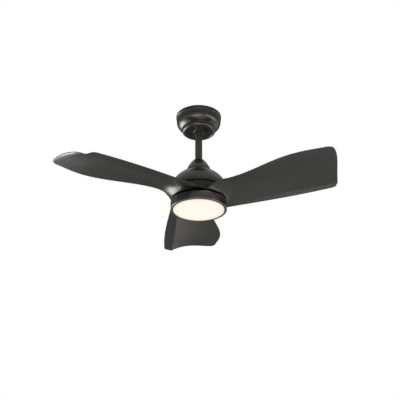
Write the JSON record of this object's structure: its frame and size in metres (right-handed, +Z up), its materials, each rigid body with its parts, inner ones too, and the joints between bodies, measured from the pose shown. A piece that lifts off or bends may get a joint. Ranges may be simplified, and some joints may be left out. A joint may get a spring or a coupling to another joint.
{
  "type": "ceiling fan with light",
  "caption": "Ceiling fan on a short rod, with curved blades round a domed motor cover and a flat round light below.",
  "frame": {"origin": "middle of the mounting bracket's face against the ceiling", "axes": "+Z up along the rod towards the ceiling; the fan hangs below the origin; -Y is the side that faces the viewer"},
  "size_m": [0.9574, 0.8807, 0.387],
  "materials": {
    "charcoal_metal": "satin charcoal powder coat",
    "charcoal_plastic": "satin moulded plastic",
    "bronze_black": "satin bronze-black coat",
    "opal": "opal acrylic, lit warm white",
    "zinc_steel": "zinc plated",
    "steel": "bright steel",
    "black_screw": "black oxide",
    "cast_grey": "cast",
    "aluminium": "die-cast",
    "copper": "enamelled copper wire",
    "magnet": "ferrite",
    "bearing_brass": "brass cage, steel balls",
    "board_green": "circuit board",
    "black_plastic": "moulded plastic",
    "ivory_plastic": "moulded nylon",
    "cable": "white cable sheath",
    "board_white": "white solder mask on aluminium",
    "led": "phosphor",
    "green_screw": "green plated"
  },
  "bodies": {
    "mount": {"ceiling_bracket": "zinc_steel", "canopy": "charcoal_metal", "canopy_screws": "black_screw", "receiver": "black_plastic", "terminal_block": "ivory_plastic", "terminal_screws": "bearing_brass", "ground_screw": "green_screw"},
    "swing_pin": {"ball_pin": "steel"},
    "hanger": {"hanger_ball": "cast_grey", "ball_set_screw": "steel", "downrod": "charcoal_metal", "lead_cable": "cable", "motor_coupling": "cast_grey", "coupling_pin": "steel", "coupling_pin_clip": "steel", "coupling_set_screws": "steel", "coupling_cover": "charcoal_metal", "dome_cover": "charcoal_metal", "dome_screws": "steel", "controller_board": "board_green", "controller_parts": "black_plastic", "board_spacers": "ivory_plastic", "motor_shaft": "steel", "stator_core": "steel", "stator_windings": "copper", "upper_bearing_inner": "steel", "lower_bearing_inner": "steel", "shaft_spacer": "steel", "lamp_plate": "zinc_steel", "shaft_nut": "zinc_steel", "lamp_housing": "bronze_black", "lamp_screws": "steel", "led_standoffs": "zinc_steel", "led_board": "board_white", "led_screws": "steel", "led_chips": "led"},
    "rotor": {"rotor_upper_shell": "aluminium", "rotor_lower_shell": "aluminium", "flux_ring": "steel", "rotor_magnets": "magnet", "rotor_screws": "steel", "upper_bearing_outer": "steel", "upper_bearing_balls": "bearing_brass", "lower_bearing_outer": "steel", "lower_bearing_balls": "bearing_brass", "blade_1": "charcoal_plastic", "blade_2": "charcoal_plastic", "blade_3": "charcoal_plastic", "blade_screws": "steel"},
    "lens": {"diffuser": "opal"}
  },
  "joints": [
    {"name": "swing_y", "type": "hinge", "parent": "mount", "child": "swing_pin", "pos_m": [0, 0, -0.032], "axis": [0, 1, 0], "range_deg": [-2, 2]},
    {"name": "swing_x", "type": "hinge", "parent": "swing_pin", "child": "hanger", "pos_m": [0, 0, -0.032], "axis": [1, 0, 0], "range_deg": [-2, 2]},
    {"name": "rotor_spin", "type": "hinge", "parent": "hanger", "child": "rotor", "pos_m": [0, 0, -0.317], "axis": [0, 0, 1], "continuous": true},
    {"name": "lens_twist", "type": "hinge", "parent": "hanger", "child": "lens", "pos_m": [0, 0, -0.385], "axis": [0, 0, 1], "range_deg": [0, 20]}
  ]
}
